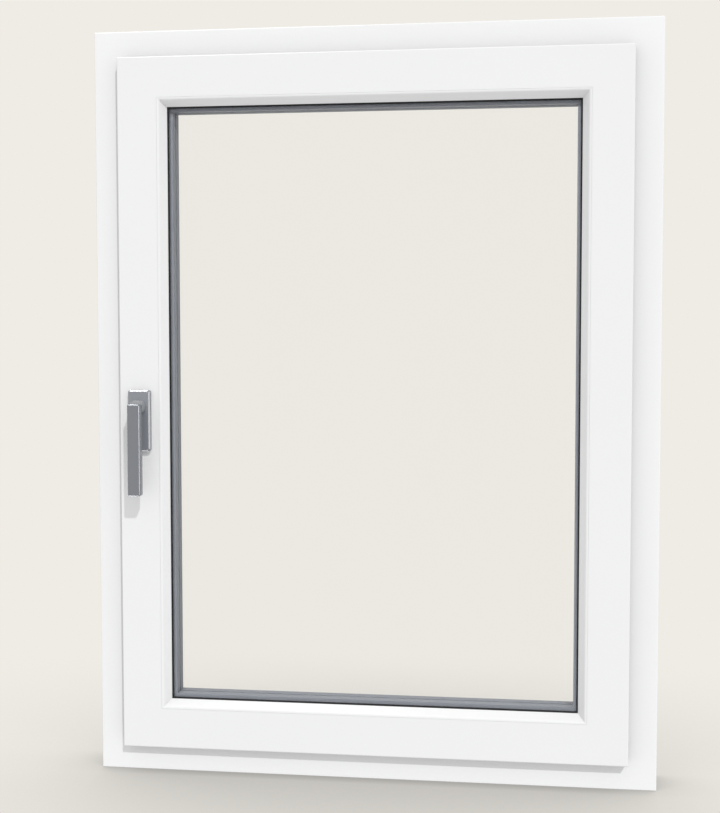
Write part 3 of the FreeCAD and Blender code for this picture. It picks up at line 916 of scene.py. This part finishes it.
@dataclass(frozen=True)
class Backdrop:
    """Pale surroundings and a floor, which light the window evenly."""

    colour: Colour = (0.863, 0.838, 0.783)
    ambient: float = 0.765
    floor_radius: float = 9.0
    floor_segments: int = 64
    shadow: Colour = (0.25, 0.243, 0.232)
    shadow_reach: float = 0.8
    shadow_samples: int = 16

    def surface(self, graph: Graph, kind: str, shown: Value) -> Link:
        """A shader that gives the window an even light and shows another colour.

        Args:
            graph: The graph it goes to.
            kind: The type of its two shaders.
            shown: The colour that the camera and mirrors see, also through glass.

        Returns:
            The shader.
        """
        rays = graph.node("ShaderNodeLightPath", output="Is Camera Ray")
        mirrored, through = rays.beside("Is Glossy Ray", "Is Transmission Ray")
        seen = rays.larger(mirrored).larger(through)
        light = graph.node(kind, inputs={"Color": WHITE_LIGHT, "Strength": self.ambient})
        look = graph.node(kind, inputs={"Color": shown, "Strength": 1.0})
        return graph.node("ShaderNodeMixShader", inputs={0: seen, 1: light, 2: look})

    def world(self) -> None:
        """An even light, which the camera sees as the pale backdrop."""
        world = bpy.data.worlds.new("surroundings")
        world.use_nodes = True
        bpy.context.scene.world = world
        world.node_tree.nodes.clear()
        graph = Graph(world.node_tree)
        surface = self.surface(graph, "ShaderNodeBackground", self.colour)
        graph.node("ShaderNodeOutputWorld", inputs={"Surface": surface})

    def floor(self) -> None:
        """A pale floor that fades into the backdrop, with the window's soft shadow painted into its colour.
        """
        shape = bmesh.new()
        bmesh.ops.create_circle(shape, cap_ends=True, segments=self.floor_segments, radius=self.floor_radius)
        mesh = bpy.data.meshes.new("floor")
        shape.to_mesh(mesh)
        shape.free()
        material = bpy.data.materials.new("floor")
        material.use_nodes = True
        material.node_tree.nodes.clear()
        graph = Graph(material.node_tree)
        settings = {"samples": self.shadow_samples}
        inputs = {"Distance": self.shadow_reach}
        # Painted shadow: the occlusion node darkens the floor's shown colour near the window.
        shade = graph.node("ShaderNodeAmbientOcclusion", settings, inputs, output="AO")
        shown = graph.blend(shade, self.shadow, self.colour)
        surface = self.surface(graph, "ShaderNodeEmission", shown)
        graph.node("ShaderNodeOutputMaterial", inputs={"Surface": surface})
        mesh.materials.append(material)
        made = bpy.data.objects.new("floor", mesh)
        bpy.context.scene.collection.objects.link(made)


@dataclass
class Studio:
    """Camera, lamps, surroundings and floor.

    The photograph's shadows ask for one sun on the frame and another on all that moves. A third one reaches
    the spacers between the panes, and the edge boxes light only the handle, along its rounded edges.
    """

    viewpoint: Viewpoint = Viewpoint()
    backdrop: Backdrop = Backdrop()
    frame_sun: Sun = Sun("frame_sun", (-0.416, 1.0, -0.745), 0.89)
    sash_sun: Sun = Sun("sash_sun", (-0.478, 1.0, -1.036), 0.73)
    spacer_sun: Sun = Sun("spacer_sun", (0.19, 1.0, -1.1), 1.0)
    top_box: SoftBox = SoftBox("top_softbox", (-0.9, -0.45, 3.2), (2.0, 0.9), 8.0)
    top_aim: Point = (0.0, 0.0, 0.6)
    edge_boxes: tuple[SoftBox, ...] = (
        SoftBox("edge_right", (2.3, -1.65, 0.9), (2.0, 1.8), 6.0),
        SoftBox("edge_top", (-0.9, -0.45, 3.2), (2.0, 0.9), 7.0, sheen_only=False),
        SoftBox("edge_low", (-0.5, -0.1, 0.03), (0.2, 0.3), 12.0),
    )

    def build(self) -> None:
        """Set up everything round the window."""
        bodies = frame["bodies"]
        moving = [piece for name, body in bodies.items() if name != "frame" for piece in body.children]
        self.viewpoint.build()
        self.frame_sun.build(bodies["frame"].children)
        self.sash_sun.build(moving)
        self.spacer_sun.build([frame["nodes"][name] for name in SPACER_NODES])
        self.top_box.build(Vector(self.top_aim))
        low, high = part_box("handle_grip")
        for box in self.edge_boxes:
            box.build((low + high) / 2, [frame["nodes"][name] for name in HANDLE_NODES])
        self.backdrop.world()
        self.backdrop.floor()
        bpy.context.scene.view_settings.view_transform = "Standard"


def main() -> None:
    """Dress the window, set its small pieces and light it."""
    logging.basicConfig(level=logging.INFO, format="%(message)s")
    outer = OuterFrame()
    sash = Sash()
    for assembly in (outer, sash, LeverHandle(), HingeLinks()):
        assembly.dress()
    outer.build()
    sash.build()
    Studio().build()


if __name__ == "__main__":
    main()
